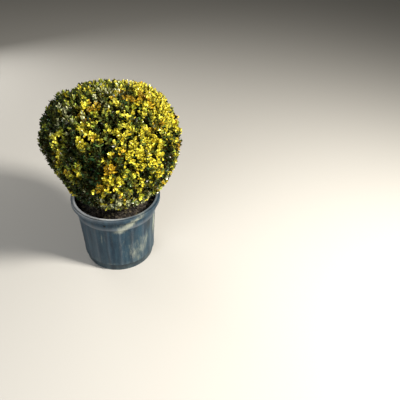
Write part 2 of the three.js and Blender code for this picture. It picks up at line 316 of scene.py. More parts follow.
def potProfile():
    wall, rim, top, opening = pot["wall"], pot["rimRadius"], pot["height"], pot["wallTopRadius"]
    foot, fade, footRadius = pot["footHeight"], pot["fluteFade"], pot["wallFootRadius"]
    floorRing = pot["floorRing"] * footRadius
    fadeRows = [i * fade / 4 for i in range(1, 5)]
    middleRows = np.linspace(foot + fade, bandBottom - fade, pot["fluteRows"])[1:-1]
    rows = [foot + pot["stepHeight"], *(foot + row for row in fadeRows[2:]), *middleRows]
    rows += [bandBottom - row for row in reversed(fadeRows)]
    bandFoot = (wallRadius(bandBottom), bandBottom + pot["stepHeight"])
    bandRing = bandBottom + pot["bandRing"]
    outside = [
        (0, 0),
        (floorRing, 0),
        (footRadius - pot["footStep"], 0),
        (wallRadius(foot) - pot["footStep"], foot),
        *((bodyRadius(height), height) for height in rows),
        bandFoot,
        (wallRadius(bandRing), bandRing),
        (opening, lipBottom),
        (opening, top - wall),
        (rim - wall, top - wall),
        (rim - wall, lipBottom),
        (rim, lipBottom),
        (rim, top),
    ]
    inside = [
        *((opening + ring * mm, top) for ring in pot["lipRings"]),
        (opening - wall, top),
        (opening - wall, lipBottom),
        (bandFoot[0] - wall, bandFoot[1]),
        *((bodyRadius(height) - wall, height) for height in reversed(rows[1:])),
        (bodyRadius(rows[0] + wall) - wall, rows[0] + wall),
        (wallRadius(foot) - pot["footStep"] - wall, foot + wall),
        (footRadius - pot["footStep"] - wall, wall),
        (floorRing, wall),
        (0, wall),
    ]
    return outside + inside


def spinProfile(bm, profile, segments):
    verts = [bm.verts.new((radius, 0, height)) for radius, height in profile]
    edges = [bm.edges.new(pair) for pair in zip(verts, verts[1:])]
    bmesh.ops.spin(
        bm, geom=verts + edges, axis=(0, 0, 1), angle=2 * math.pi, steps=segments, use_merge=True
    )
    bmesh.ops.remove_doubles(bm, verts=bm.verts, dist=1e-6)
    bmesh.ops.recalc_face_normals(bm, faces=bm.faces)


def bevelEdges(bm, edges, offset, segments):
    bmesh.ops.bevel(
        bm, geom=edges, offset=offset, offset_type="OFFSET", segments=segments, profile=0.5,
        affect="EDGES", material=-1,
    )


def roundRings(bm, rings, offset, segments):
    edges = []
    for radius, height in rings:
        onRing = lambda vert: abs(vert.co.xy.length - radius) < 1e-5 and abs(vert.co.z - height) < 1e-5
        edges += [edge for edge in bm.edges if onRing(edge.verts[0]) and onRing(edge.verts[1])]
    bevelEdges(bm, edges, offset, segments)


def sinkFlutes(bm):
    # presses the flutes in and bends the wall slightly out of round
    for vert in bm.verts:
        radius = vert.co.xy.length
        if radius < pot["flatFloor"] * pot["wallFootRadius"]:
            continue
        angle = math.atan2(vert.co.y, vert.co.x)
        fromEnd = min(vert.co.z - pot["footHeight"], bandBottom - vert.co.z)
        full = min(max(fromEnd / pot["fluteFade"], 0), 1)
        sunk = pot["fluteDepth"] * full * abs(math.sin(angle * pot["flutes"] / 2))
        lift = min(vert.co.z / pot["roundBelow"], 1)
        waves = pot["wavesRound"]
        around = (math.cos(angle) * waves, math.sin(angle) * waves, vert.co.z * pot["wavesUp"])
        sunk -= pot["outOfRound"] * lift * noiseAt(around, 1) - pot["swell"] * lift
        vert.co.x *= (radius - sunk) / radius
        vert.co.y *= (radius - sunk) / radius


def drainCutter():
    bm = bmesh.new()
    for i in range(pot["drainHoles"]):
        angle = i * 2 * math.pi / pot["drainHoles"]
        place = Vector((math.cos(angle), math.sin(angle), 0)) * pot["drainCircleRadius"]
        bmesh.ops.create_cone(
            bm, cap_ends=True, segments=pot["drainHoleSides"], radius1=pot["drainHoleRadius"],
            radius2=pot["drainHoleRadius"], depth=4 * pot["wall"], matrix=Matrix.Translation(place),
        )
    return addObject("drainCutter", meshFrom("drainCutter", bm))


def makePotShell():
    rim, wall, top = pot["rimRadius"], pot["wall"], pot["height"]
    bm = bmesh.new()
    spinProfile(bm, potProfile(), pot["flutes"] * pot["segmentsPerFlute"])
    roundRings(bm, [(rim, top), (pot["wallTopRadius"] - wall, top)], pot["lipRounding"], 3)
    bandFoot = (wallRadius(bandBottom), bandBottom + pot["stepHeight"])
    roundRings(bm, [(rim, lipBottom), (rim - wall, lipBottom), bandFoot], pot["edgeRounding"], 2)
    roundRings(bm, [(pot["wallFootRadius"] - pot["footStep"], 0)], 3 * pot["edgeRounding"], 3)
    sinkFlutes(bm)
    shell = addObject("potShell", meshFrom("potShell", bm))
    cutter = drainCutter()
    holes = shell.modifiers.new("drainHoles", "BOOLEAN")
    holes.operation = "DIFFERENCE"
    holes.object = cutter
    holes.solver = "EXACT"
    mesh = applyModifiers(shell)
    bpy.data.objects.remove(cutter)
    return mesh


def marksOn(marks, angle, height):
    total = np.zeros(len(angle))
    for azimuth, level, roundWidth, upWidth, rise, strength in marks:
        turned = (np.degrees(angle) - azimuth + 180) % 360 - 180
        away = ((height - level - rise * turned) / upWidth) ** 2 + (turned / roundWidth) ** 2
        total += strength * np.exp(-away)
    return total


def markPot(mesh):
    # wear and painted highlights, dust, splashes, stains and painted shade as point attributes, which the
    # finish reads
    rim, wall, top, fadeOut = pot["rimRadius"], pot["wall"], pot["height"], 10 * mm
    wearAndHighlight, dust = pot["wearAndHighlight"], pot["dust"]
    corners = cornersOf(mesh)
    radius = np.hypot(corners[:, 0], corners[:, 1])
    angle = np.arctan2(corners[:, 1], corners[:, 0])
    height = corners[:, 2]
    onTop = smoothStep(top - 3 * mm, top - mm, height)

    # the lip's bright line near the opening and its outer edge are painted highlights
    lipLine = pot["wallTopRadius"] - wall + wearAndHighlight["lipLineOut"]
    lipHighlightMask = np.exp(-(((radius - lipLine) / wearAndHighlight["lipLineWidth"]) ** 2))
    lipHighlightMask += wearAndHighlight["lipOutside"] * smoothStep(rim - 3 * mm, rim - mm, radius)
    lipHighlightMask *= onTop * (wearAndHighlight["lip"] + marksOn(pot["rimHighlights"], angle, height))

    # flute depths out from the band's slope: the pot's inside is not rubbed
    outer = smoothStep(-2.4, -1.4, (radius - wallRadius(height)) / pot["fluteDepth"])
    crests = np.clip(1 - wearAndHighlight["crestWidth"] * np.abs(np.sin(angle * pot["flutes"] / 2)), 0, 1) ** 2
    crests *= smoothStep(pot["footHeight"], pot["footHeight"] + fadeOut, height)
    crests *= 1 - smoothStep(bandBottom - fadeOut, bandBottom, height)
    bandEdge = np.exp(-(((height - bandBottom - wearAndHighlight["bandEdgeAbove"]) / wearAndHighlight["bandEdgeWidth"]) ** 2))
    onWall = outer * (wearAndHighlight["crests"] * crests + wearAndHighlight["bandEdge"] * bandEdge)
    pointAttribute(mesh, "wearAndHighlight", np.clip(onWall + lipHighlightMask, 0, 1))

    fromLedge = np.abs(height - pot["footHeight"] - dust["ledgeAbove"])
    settled = dust["foot"] * np.exp(-height / dust["footFade"])
    settled += dust["ledge"] * np.exp(-fromLedge / dust["ledgeFade"])
    pointAttribute(mesh, "dust", np.clip(settled, 0, 1))
    pointAttribute(mesh, "mark", np.clip(marksOn(pot["marks"], angle, height), 0, 1))
    # the lip's top is darkened along with the stains: painted shade
    stains = marksOn(pot["stains"], angle, height) + pot["lipTopShade"] * onTop
    pointAttribute(mesh, "stainAndShade", np.clip(stains, 0, 1))


def makePotFinish():
    material, tree, shader, place = newMaterial("weatheredPotPlastic", pot["shine"])
    colours = pot["colours"]
    dust, wearAndHighlight, stainAndShade, mark = (attributeOf(tree, name) for name in ("dust", "wearAndHighlight", "stainAndShade", "mark"))
    drawn = stretch(tree, place, pot["streaks"])
    streaks = patchesOf(tree, drawn, scale=1, cover=0.5, softness=0.16)
    clouds = patchesOf(tree, place, scale=14, cover=0.5, softness=0.2)
    specks = patchesOf(tree, place, scale=160, cover=0.42, softness=0.12)

    plastic = blend(tree, streaks, colours["plastic"], colours["weathered"])
    plastic = blend(tree, multiply(tree, clouds, 0.45), plastic, colours["weathered"])
    # darker where stained, and on the lip's top as painted shade
    plastic = blend(tree, multiply(tree, stainAndShade, 0.8), plastic, colours["stainedAndShaded"])

    uneven = multiply(tree, remap(tree, clouds, 0, 1, 0.25, 1), remap(tree, streaks, 0, 1, 0.45, 1))
    tears = {"Vector": stretch(tree, place, pot["tears"]), "Scale": 1.0, "Detail": 5, "Roughness": 0.7}
    ragged = calculate(tree, "ADD", mark, addNode(tree, "TexNoise", tears)[0])
    ragged = remap(tree, ragged, 0.6, 1.3, 0, 1, "SMOOTHSTEP")
    # the splash marks include one painted highlight on the wall's edge, which takes the dust colour
    dustAndHighlight = calculate(tree, "MAXIMUM", multiply(tree, dust, uneven), ragged)
    dustAndHighlight = calculate(tree, "ADD", multiply(tree, specks, 0.05), dustAndHighlight, clamp=True)
    dustyAndHighlit = blend(tree, dustAndHighlight, plastic, colours["dust"])
    # rubbed wear and the painted highlight along the lip both take the worn colour
    rubbedAndHighlit = multiply(tree, wearAndHighlight, remap(tree, clouds, 0, 1, 0.7, 1))

    colour = blend(tree, rubbedAndHighlit, dustyAndHighlit, colours["wornAndHighlight"])
    rough = remap(tree, dustAndHighlight, 0, 1, 0.42, 0.85)
    height = grainOf(tree, place, coarse=90, fine=900)["Height"]
    feedShader(tree, shader, colour, rough, height, relief=0.4 * mm, strength=0.5)
    return material


potShell = makePotShell()
markPot(potShell)
dress("nursery_pot_shell", potShell, makePotFinish(), "nursery_pot")
print("pot made")


# Potting mix with crumbs, bark chips and fallen leaves on it

mix = {
    "edgeLevel": 292 * mm,
    "seatLevel": 298.8 * mm,
    "seatRadius": 32 * mm,
    "clearance": 0.6 * mm,
    "rings": 44,
    "segments": 192,
    "swell": 2.6 * mm,
    "swellWidth": 38 * mm,
    "crumble": 2.2 * mm,
    "crumbleWidth": 11 * mm,
    "shine": 0.2,
    "seed": 7,
    "bareMiddle": 30 * mm,  # round the stem nothing is strewn
    "bareEdge": 5 * mm,
    # strewn things: sizes in millimetres, spread of their tilt, middle's height over the mix, width
    # as a share of the length, how far to the rim and how dark they tend to be
    "mix_crumbs": {
        "count": 1500, "sizes": (1.4, 4.2), "tilt": 0.5, "lift": 0.4 * mm, "width": 1, "rimBias": 0.5,
        "darkness": 2, "colours": ((0.007, 0.006, 0.005), (0.021, 0.018, 0.014)),
        "roughness": 0.9, "relief": 0.5 * mm,
        "uneven": (0.6, 1.2),  # each way by itself
    },
    "bark_chips": {
        "count": 360, "sizes": (4, 11), "tilt": 0.22, "lift": 1.2 * mm, "width": 1, "rimBias": 0.5,
        "darkness": 2, "colours": ((0.022, 0.017, 0.013), (0.075, 0.063, 0.048)),
        "roughness": 0.85, "relief": 0.4 * mm,
    },
    "fallen_leaves": {
        "count": 160, "sizes": (12, 19), "tilt": 0.2, "lift": 2.6 * mm, "width": 0.6, "rimBias": 0.7,
        "darkness": 1, "colours": ((0.035, 0.028, 0.016), (0.13, 0.11, 0.06)),
        "roughness": 0.7, "relief": 0.1 * mm,
    },
}


def innerRadius(height):
    return wallRadius(height) - pot["wall"] - mix["clearance"]


mixEdge = innerRadius(mix["edgeLevel"])


def mixLevel(x, y):
    radius = math.hypot(x, y)
    share = min(max((radius - mix["seatRadius"]) / (mixEdge - mix["seatRadius"]), 0), 1)
    level = mix["seatLevel"] + share * (mix["edgeLevel"] - mix["seatLevel"])
    loose = min(share * 6, 1)  # the seat under the stem stays level
    rough = mix["swell"] * noiseAt((x, y, 0), mix["swellWidth"], 1)
    rough += mix["crumble"] * roughnessAt((x, y, 0), mix["crumbleWidth"], 1.0, 3)
    return level + loose * rough


def makeMixBed():
    gap, fade = mix["clearance"], pot["fluteFade"]
    fluted = lambda height: innerRadius(height) - pot["bandStep"] - pot["fluteDepth"]
    footInside = pot["footStep"] + gap
    overFoot = pot["footHeight"] + pot["wall"]
    profile = [
        (0, pot["wall"] + gap / 2),
        (innerRadius(0) - footInside, pot["wall"] + gap / 2),
        (innerRadius(pot["footHeight"]) - footInside, overFoot),
        (fluted(pot["footHeight"]), overFoot + 2 * fade),
        (fluted(bandBottom - fade), bandBottom - fade),
        (innerRadius(bandBottom), bandBottom + fade),
    ]
    profile += [(mixEdge * (1 - i / mix["rings"]), mix["edgeLevel"]) for i in range(mix["rings"] + 1)]
    bm = bmesh.new()
    spinProfile(bm, profile, mix["segments"])
    for vert in bm.verts:
        if vert.co.z > mix["edgeLevel"] - mm:
            vert.co.z = mixLevel(vert.co.x, vert.co.y)
    return meshFrom("mixBed", bm)


def makeMixFinish():
    material, tree, shader, place = newMaterial("pottingMixFinish", mix["shine"])
    dark, brown = mix["mix_crumbs"]["colours"]
    grain = grainOf(tree, place, coarse=110, fine=420)
    damp = patchesOf(tree, place, scale=30, cover=0.5, softness=0.2)
    crumbs = addNode(tree, "TexVoronoi", {"Vector": place, "Scale": 190})["Distance"]
    height = calculate(tree, "ADD", remap(tree, crumbs, 0, 0.7, 1, 0), grain["Height"])
    colour = blend(tree, grain["Tone"], dark, brown)
    colour = blend(tree, multiply(tree, damp, 0.6), colour, dark)
    feedShader(tree, shader, colour, remap(tree, damp, 0, 1, 0.95, 0.6), height, relief=1.6 * mm)
    return material


def dent(bm, depth, size, seed):
    for vert in bm.verts:
        vert.co *= 1 + depth * noiseAt(vert.co, size, seed)


def makeLump():
    bm = bmesh.new()
    bmesh.ops.create_icosphere(bm, subdivisions=1, radius=1)
    dent(bm, depth=0.5, size=0.9, seed=1)
    return meshFrom("lump", bm)


def makeChip():
    bm = bmesh.new()
    bmesh.ops.create_cube(bm, size=2, matrix=Matrix.Diagonal((1, 0.42, 0.16, 1)))
    dent(bm, depth=0.45, size=0.7, seed=3)
    bevelEdges(bm, bm.edges, offset=0.07, segments=1)
    bmesh.ops.triangulate(bm, faces=bm.faces)
    return meshFrom("chip", bm)


leafForm = {
    "sides": 8,
    "roundTip": 0.9,
    "middle": 0.55,  # of the blade's middle point, from root to tip
    "hollow": 0.25,
    "footWidth": 0.78,
    "widening": 0.3,
    # how the edges cup up and how the tip curls down
    "old": (-0.05, 0.10),
    "young": (0.09, 0.05),
    "fallen": (0.2, 0.12),
}


def makeLeaf(cup, curl):
    # a spoon along +Y from its root, its upper side towards +Z
    bm = bmesh.new()
    bmesh.ops.create_circle(bm, cap_ends=True, cap_tris=True, segments=leafForm["sides"], radius=1)
    for vert in bm.verts:
        across, along = vert.co.x, (vert.co.y + 1) / 2
        onEdge = vert.co.length > 0.5
        along = along ** leafForm["roundTip"] if onEdge else leafForm["middle"]
        width = 0.5 * across * (leafForm["footWidth"] + leafForm["widening"] * along)
        height = cup * (across * across if onEdge else -leafForm["hollow"]) - curl * along * along
        vert.co = (width, along, height)
    bmesh.ops.recalc_face_normals(bm, faces=bm.faces)
    if sum(face.normal.z for face in bm.faces) < 0:
        bmesh.ops.reverse_faces(bm, faces=bm.faces)
    return meshFrom("leaf", bm)


def joinedCopies(name, template, origins, axes, shades):
    # copies of one small mesh as one mesh: axes holds each copy's scaled X, Y and Z directions
    template.calc_loop_triangles()
    faces = np.array([triangle.vertices[:] for triangle in template.loop_triangles])
    corners = cornersOf(template)
    count, size = len(origins), len(corners)
    points = origins[:, None, :] + np.einsum("vk,mkj->mvj", corners, axes)
    triangles = faces[None, :, :] + (np.arange(count) * size)[:, None, None]
    mesh = bpy.data.meshes.new(name)
    mesh.from_pydata(points.reshape(-1, 3), [], triangles.reshape(-1, 3))
    layer = mesh.uv_layers.new(name="ownMap")
    ownMap = corners[faces.reshape(-1)][:, :2] + (0.5, 0)
    layer.data.foreach_set("uv", np.tile(ownMap.astype(np.float32), (count, 1)).reshape(-1))
    pointAttribute(mesh, "shade", np.repeat(shades, size))
    return mesh


def turnedAxes(rng, count, tilt):
    # random directions for things that lie about: heading round Z, then a small tilt
    heading = rng.uniform(0, 2 * math.pi, count)
    lean = rng.normal(0, tilt, (count, 2))
    first = unit(np.stack([np.cos(heading), np.sin(heading), lean[:, 0]], 1))
    side = np.stack([-np.sin(heading), np.cos(heading), lean[:, 1]], 1)
    third = unit(np.cross(first, side))
    return np.stack([first, np.cross(third, first), third], 1)


def scatterOnMix(rng, count, lift, rimBias):
    inner, outer = mix["bareMiddle"], mixEdge - mix["bareEdge"]
    radius = inner + (outer - inner) * rng.uniform(0, 1, count) ** rimBias
    angle = rng.uniform(0, 2 * math.pi, count)
    x, y = radius * np.cos(angle), radius * np.sin(angle)
    level = np.array([mixLevel(a, b) for a, b in zip(x, y)])
    return np.stack([x, y, level + lift], 1)


def makeSpeckFinish(name, darkest, lightest, roughness, relief):
    material, tree, shader, place = newMaterial(name, shine=0.25)
    grain = grainOf(tree, place, coarse=120, fine=700)
    colour = blend(tree, attributeOf(tree, "shade"), darkest, lightest)
    colour = dim(tree, colour, remap(tree, grain["Tone"], 0, 1, 0.65, 1.2))
    rough = remap(tree, grain["Tone"], 0, 1, roughness - 0.1, roughness + 0.05)
    feedShader(tree, shader, colour, rough, grain["Height"], relief)
    return material


def strew(rng, name, template, finishName):
    thing = mix[name]
    count = thing["count"]
    size = (rng.uniform(*thing["sizes"], count) * mm)[:, None, None]
    axes = turnedAxes(rng, count, thing["tilt"])
    if "uneven" in thing:
        size = size * rng.uniform(*thing["uneven"], (count, 3, 1))
    axes = axes * size
    axes[:, 0] *= thing["width"]
    origins = scatterOnMix(rng, count, thing["lift"], thing["rimBias"])
    shades = rng.uniform(0, 1, count) ** thing["darkness"]
    mesh = joinedCopies(name, template, origins, axes, shades)
    finish = makeSpeckFinish(finishName, *thing["colours"], thing["roughness"], thing["relief"])
    dress(name, mesh, finish, "potting_mix")


dress("potting_mix_bed", makeMixBed(), makeMixFinish(), "potting_mix")
mixRandom = np.random.default_rng(mix["seed"])
strew(mixRandom, "mix_crumbs", makeLump(), "crumbFinish")
strew(mixRandom, "bark_chips", makeChip(), "barkChipFinish")
strew(mixRandom, "fallen_leaves", makeLeaf(*leafForm["fallen"]), "dryLeafFinish")
print("potting mix made")


# Growth: the solids' own rule, carried on to finer twigs

crown = {
    "centre": np.array((0, 0, 582.5)) * mm,
    "halfWidth": 295 * mm,
    "halfHeight": 257.5 * mm,
    "fullest": 1.06,
    "seed": 41,
    # where the shears cut flatter or left it fuller: azimuth, elevation, half width, amount
    "clipMarks": [
        (204, -30, 26, -0.11), (165, 38, 20, 0.03), (350, 32, 22, 0.03), (300, -44, 20, -0.03),
        (75, 8, 24, -0.035), (115, -35, 22, 0.03), (22, 48, 15, 0.06), (345, -8, 15, -0.06),
        (328, -24, 14, -0.04), (194, -2, 10, -0.04), (202, -10, 17, -0.09), (176, 22, 12, -0.03),
        (90, 64, 16, -0.02),
    ],
    # each level of limbs: where they end as a share of the reach and how unevenly, how far they
    # start in their parent's direction, and how upright they end
    "boughs": {"count": 7, "share": 0.36, "jitter": 0.22, "follow": 0.6},
    "branches": {"count": 44, "share": 0.54, "jitter": 0.22, "follow": 0.45},
    "sprigs": {"count": 90, "share": 0.985, "spread": 0.014, "jitter": 0.22, "follow": 0.4},
    "sprays": {"count": 800, "share": 0.88, "spread": 0.03, "jitter": 0.5, "follow": 0.5, "lift": 0.25},
    "innerSprays": {"count": 950, "share": 0.68, "spread": 0.12, "jitter": 0.5, "follow": 0.4},
    "shoots": {
        "count": 4700, "share": 0.978, "spread": 0.042, "jitter": 1.0, "follow": 0.3, "lift": 1.2,
        "moreCount": 5200,  # kept only in the golden places, which are denser
        "drop": 20 * mm,  # how far below its tip a shoot's spray is looked for
    },
    "handle": 0.33,  # of a limb's curve, as a share of its length
    "outwards": 0.45,  # how far a limb's end turns away from the crown's middle
    "endLeaf": 56 * mm,  # the solids' large end leaf, which the finer twigs stand in for
    "densePlace": 0.35,
    "tuftSpread": 0.11,  # how far whole tufts stand out or lie back
    "tuftWidth": 24 * mm,
    "tuftCalm": 0.7,  # how much less they do so in golden places
    "gather": 0.3,  # how far a spray's shoots draw together
    "standOut": 0.04,  # golden places stand out and dark ones lie back by this share
    "furthestShoot": 1.02,
    "limbClearance": 42 * mm,  # from the middle of the stem
    "leafClearance": 30 * mm,
    "overStem": 14 * mm,
    "overMix": 8 * mm,
}
# where tufts are golden, dark, bronze or pale: azimuth, elevation, half width, half height
places = {
    "golden": [
        (219, 27, 4, 6), (227, 15, 3, 6), (244, 12, 3, 3), (247, 34, 6, 9), (350, 50, 12, 9),
        (2, 58, 10, 6), (340, 38, 9, 8), (331, 36, 6, 8), (303, 33, 5, 5), (286, 34, 6, 8),
        (301, 24, 7, 6), (283, 25, 8, 9), (294, 15, 8, 5), (306, 5, 4, 8), (266, 3, 8, 9),
        (284, 33, 6, 6), (282, 28, 4, 4), (240, 63, 5, 5),
    ],
    "dark": [
        (210, 17, 7, 9), (236, 22, 5, 8), (251, 15, 10, 7), (253, 3, 8, 7), (247, -12, 9, 8),
        (261, 41, 3, 5), (273, 47, 6, 5), (298, 42, 3, 6), (250, 69, 5, 6), (317, 8, 7, 11),
        (310, -8, 8, 6), (297, 0, 3, 6), (304, 62, 5, 4), (212, 42, 6, 6), (330, 22, 5, 6),
        (272, 22, 3, 4), (315, 39, 3, 4), (273, 15, 3, 4), (338, 70, 7, 4),
    ],
    "bronze": [(244, 57, 4, 10), (285, 68, 5, 6), (335, 61, 7, 4), (303, 50, 8, 4), (289, 12, 5, 6)],
    # pale places: paler leaves, partly painted sheen
    "pale": [(272, -21, 18, 8), (215, 45, 9, 8), (290, 85, 16, 10)],
}
stemLow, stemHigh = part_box("main_stem")
stem = {
    "foot": stemLow.z,
    "top": stemHigh.z,
    "forkHeight": 26 * mm,
    "lean": Vector((7, -4)) * mm,
    "footRadius": 17 * mm,
    "topRadius": 11 * mm,
    "flare": 0.53,
    "flareHeight": 22 * mm,
    "roots": 5,
    "betweenRoots": 0.4,  # how much less it flares there
    "dome": 4 * mm,
    "segments": 60,
    "rows": 46,
    "fissure": 0.9 * mm,
    "fissuresRound": 3.2,
    "fissureLength": 26 * mm,
}
goldenAngle = math.pi * (3 - math.sqrt(5))


def rollsFrom(start):
    # the same repeatable numbers from 0 to 1 as the solids'
    full = 0xFFFFFFFF
    state = start

    def roll():
        nonlocal state
        state = (state + 0x6D2B79F5) & full
        mixed = ((state ^ (state >> 15)) * (1 | state)) & full
        mixed = ((mixed + ((mixed ^ (mixed >> 7)) * (61 | mixed) & full)) ^ mixed) & full
        return (mixed ^ (mixed >> 14)) / (full + 1)

    return roll


roll = rollsFrom(crown["seed"])


def scatter(amount):
    return (roll() * 2 - 1) * amount


def towards(azimuth, elevation):
    flat = math.cos(elevation)
    return np.array((flat * math.cos(azimuth), flat * math.sin(azimuth), math.sin(elevation)))


clipMarks = [
    (towards(math.radians(azimuth), math.radians(elevation)), halfWidth, amount)
    for azimuth, elevation, halfWidth, amount in crown["clipMarks"]
]


def reach(directions):
    share = np.ones(len(directions))
    for direction, halfWidth, amount in clipMarks:
        apart = np.degrees(np.arccos(np.clip(directions @ direction, -1, 1))) / halfWidth
        share += amount * 0.5 ** (apart * apart)
    across = np.hypot(directions[:, 0], directions[:, 1]) / crown["halfWidth"]
    upward = directions[:, 2] / crown["halfHeight"]
    return np.minimum(share, crown["fullest"]) / np.hypot(across, upward)


def sidesOf(points):
    return unit(points - crown["centre"])


def spreadTips(level, count):
    # tips spread evenly all round by the golden angle, then jittered
    gap = level["jitter"] * math.sqrt(crown["boughs"]["count"] / count)
    directions = []
    shares = []
    for i in range(count):
        direction = towards(i * goldenAngle, math.asin(1 - 2 * (i + 0.5) / count))
        directions.append(direction + (scatter(gap), scatter(gap), scatter(gap)))
        shares.append(level["share"] + scatter(level.get("spread", 0)))
    directions = unit(np.array(directions))
    return crown["centre"] + directions * (reach(directions) * np.array(shares))[:, None]


def stemMiddle(height):
    share = np.clip((height - stem["foot"]) / (stem["top"] - stem["foot"]), 0, 1)
    return np.multiply.outer(share**1.5, np.array(stem["lean"]))


def staysInSpace(points, furthest=1.0, clearance=crown["limbClearance"]):
    apart = np.linalg.norm(points[:, :2] - stemMiddle(points[:, 2]), axis=1)
    clearOfStem = (points[:, 2] > stem["top"] + crown["overStem"]) | (apart > clearance)
    clearOfMix = points[:, 2] > mix["seatLevel"] + crown["overMix"]
    distance = np.linalg.norm(points - crown["centre"], axis=1)
    return (distance / reach(sidesOf(points)) <= furthest) & clearOfStem & clearOfMix


def keptTips(kind):
    tips = spreadTips(crown[kind], crown[kind]["count"])
    return tips[staysInSpace(tips)]


def near(kind, directions):
    # from 1 in the middle of a place of this kind to 0 far from all of them
    azimuth = np.degrees(np.arctan2(directions[:, 1], directions[:, 0]))
    elevation = np.degrees(np.arcsin(directions[:, 2]))
    nearness = np.zeros(len(directions))
    for middle, height, halfWidth, halfHeight in places[kind]:
        turned = ((azimuth - middle + 180) % 360 - 180) * np.cos(np.radians(elevation))
        away = (turned / halfWidth) ** 2 + ((elevation - height) / halfHeight) ** 2
        nearness = np.maximum(nearness, 0.5**away)
    return nearness


def nearest(points, others):
    return np.array([np.argmin(((others - point) ** 2).sum(1)) for point in points])


def growLimbs(kind, ends, parents, parentDirections):
    # smooth curves of four handles, each from the nearest tip of the level before it
    level = crown[kind]
    chosen = nearest(ends - np.array((0, 0, level.get("drop", 0))), parents)
    starts = parents[chosen]
    span = ends - starts
    length = np.linalg.norm(span, axis=1)[:, None]
    chord = span / np.maximum(length, 1e-6)
    follow, outwards = level["follow"], crown["outwards"]
    startDirections = unit(parentDirections[chosen] * follow + chord * (1 - follow))
    upwards = np.array((0, 0, level.get("lift", 0)))
    endDirections = unit(chord * (1 - outwards) + sidesOf(ends) * outwards + upwards)
    leaving = starts + startDirections * length * crown["handle"]
    arriving = ends - endDirections * length * crown["handle"]
    return np.stack([starts, leaving, arriving, ends], 1), endDirections, chosen


def curvePoints(handles, t):
    # t runs from 0 at a limb's root to 1 at its tip
    a, b, c, d = (handles[:, i, None, :] for i in range(4))
    return a * (1 - t) ** 3 + 3 * b * t * (1 - t) ** 2 + 3 * c * t * t * (1 - t) + d * t**3


def curveDirections(handles, t):
    a, b, c, d = (handles[:, i, None, :] for i in range(4))
    return unit((b - a) * (1 - t) ** 2 + 2 * (c - b) * t * (1 - t) + (d - c) * t * t)


fork = np.array([[*stem["lean"], stem["top"] + stem["forkHeight"]]])
boughTips = spreadTips(crown["boughs"], crown["boughs"]["count"])
branchTips = keptTips("branches")
sprigEnds = keptTips("sprigs")

boughs, boughDirections, _ = growLimbs("boughs", boughTips, fork, np.array([[0, 0, 1.0]]))
branches, branchDirections, _ = growLimbs("branches", branchTips, boughTips, boughDirections)
sprigStarts = branchTips[nearest(sprigEnds, branchTips)]
sprigTips = sprigEnds - unit(sprigEnds - sprigStarts) * crown["endLeaf"]
sprigs, sprigDirections, _ = growLimbs("sprigs", sprigTips, branchTips, branchDirections)

sprayTips = keptTips("sprays")
sprays, sprayDirections, _ = growLimbs("sprays", sprayTips, sprigTips, sprigDirections)

innerTips = keptTips("innerSprays")
innerSprays, _, _ = growLimbs("innerSprays", innerTips, branchTips, branchDirections)

shootTips = spreadTips(crown["shoots"], crown["shoots"]["count"])
moreTips = spreadTips(crown["shoots"], crown["shoots"]["moreCount"])
shootTips = np.concatenate([shootTips, moreTips[near("golden", sidesOf(moreTips)) > crown["densePlace"]]])
shootSpan = np.linalg.norm(shootTips - crown["centre"], axis=1)
heldBy = sprayTips[nearest(sidesOf(shootTips), sidesOf(sprayTips))]
shootSides = sidesOf(shootTips * (1 - crown["gather"]) + heldBy * crown["gather"])
standing = near("golden", shootSides) - near("dark", shootSides)
waves = np.array([noiseAt(tip, crown["tuftWidth"], 4) for tip in heldBy])
waves *= 1 - crown["tuftCalm"] * np.maximum(standing, 0)
tufts = 1 + crown["tuftSpread"] * waves + crown["standOut"] * standing
shootTips = crown["centre"] + shootSides * (shootSpan * tufts)[:, None]
shootTips = shootTips[staysInSpace(shootTips, crown["furthestShoot"])]
shoots, _, sprayOfShoot = growLimbs("shoots", shootTips, sprayTips, sprayDirections)
print(f"grown: {len(sprigs)} sprigs, {len(sprays)} sprays, {len(shoots)} shoots")


# Stem, boughs and twigs

wood = {
    # radius at the root and at the tip in millimetres, steps along, and bevel resolution
    "bough": (9.5, 5.6, 16, 4),
    "branch": (5.4, 3.4, 12, 2),
    "sprig": (3.3, 2.1, 8, 1),
    "spray": (1.9, 1.1, 5, 0),
    "shoot": (1.0, 0.65, 4, 0),
    "barkLumps": 9 * mm,
    "barkDepth": 0.7 * mm,
    "shine": 0.25,
    "colours": {
        "bark": (0.19, 0.15, 0.105),
        "furrow": (0.055, 0.040, 0.028),
        "youngBark": (0.16, 0.15, 0.055),
        "greenBark": (0.11, 0.14, 0.030),
    },
}


def makeLimbs(kind, handles):
    rootRadius, tipRadius, steps, resolution = wood[kind]
    curve = bpy.data.curves.new(kind + "Limbs", "CURVE")
    curve.dimensions = "3D"
    curve.bevel_depth = mm
    curve.bevel_resolution = resolution
    curve.use_fill_caps = True
    shares = np.linspace(0, 1, steps + 1)
    for points in curvePoints(handles, shares[:, None]):
        spline = curve.splines.new("POLY")
        spline.points.add(steps)
        spline.points.foreach_set("co", np.column_stack([points, np.ones(steps + 1)]).reshape(-1))
        spline.points.foreach_set("radius", rootRadius + (tipRadius - rootRadius) * shares)
    return applyModifiers(addObject(kind + "Limbs", curve))


def roughenBark(mesh):
    corners = cornersOf(mesh)
    normals = np.empty(len(corners) * 3)
    mesh.vertices.foreach_get("normal", normals)
    relief = np.array([roughnessAt(corner, wood["barkLumps"], 0.8, 3) for corner in corners])
    corners += normals.reshape(-1, 3) * (relief * wood["barkDepth"])[:, None]
    mesh.vertices.foreach_set("co", corners.reshape(-1))
    mesh.update()


def joinMeshes(name, *meshes):
    bm = bmesh.new()
    for mesh in meshes:
        bm.from_mesh(mesh)
    return meshFrom(name, bm)


